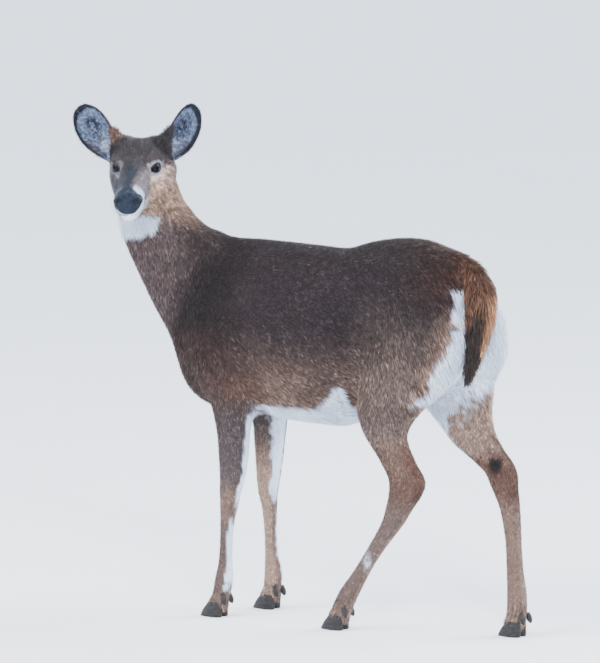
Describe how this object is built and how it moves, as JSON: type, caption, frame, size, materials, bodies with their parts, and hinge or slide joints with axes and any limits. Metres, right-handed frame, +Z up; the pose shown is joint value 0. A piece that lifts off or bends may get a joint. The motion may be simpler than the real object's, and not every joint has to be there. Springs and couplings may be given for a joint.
{
  "type": "white-tailed deer",
  "caption": "Life-size still model of a white-tailed doe in winter coat, standing and looking back over her left side.",
  "frame": {"origin": "on the ground under the middle of the bounding box", "axes": "+Z up; the deer faces -X, its left side is -Y, and its head is turned towards -Y"},
  "size_m": [1.1562, 0.4342, 1.2118],
  "materials": {
    "coat": "winter fur, grey-brown above, white below",
    "eye": "wet dark eye",
    "horn": "dark hoof horn, half gloss"
  },
  "bodies": {
    "root": {"trunk": "coat", "neck": "coat", "head": "coat", "ear_left": "coat", "ear_right": "coat", "tail": "coat", "leg_front_left_upper": "coat", "leg_front_left_lower": "coat", "foot_front_left": "coat", "leg_front_right_upper": "coat", "leg_front_right_lower": "coat", "foot_front_right": "coat", "leg_hind_left_upper": "coat", "leg_hind_left_lower": "coat", "foot_hind_left": "coat", "leg_hind_right_upper": "coat", "leg_hind_right_lower": "coat", "foot_hind_right": "coat", "eye_left": "eye", "eye_right": "eye", "hoof_front_left_outer": "horn", "dewclaw_front_left_outer": "horn", "hoof_front_left_inner": "horn", "dewclaw_front_left_inner": "horn", "hoof_front_right_outer": "horn", "dewclaw_front_right_outer": "horn", "hoof_front_right_inner": "horn", "dewclaw_front_right_inner": "horn", "hoof_hind_left_outer": "horn", "dewclaw_hind_left_outer": "horn", "hoof_hind_left_inner": "horn", "dewclaw_hind_left_inner": "horn", "hoof_hind_right_outer": "horn", "dewclaw_hind_right_outer": "horn", "hoof_hind_right_inner": "horn", "dewclaw_hind_right_inner": "horn"}
  },
  "joints": []
}
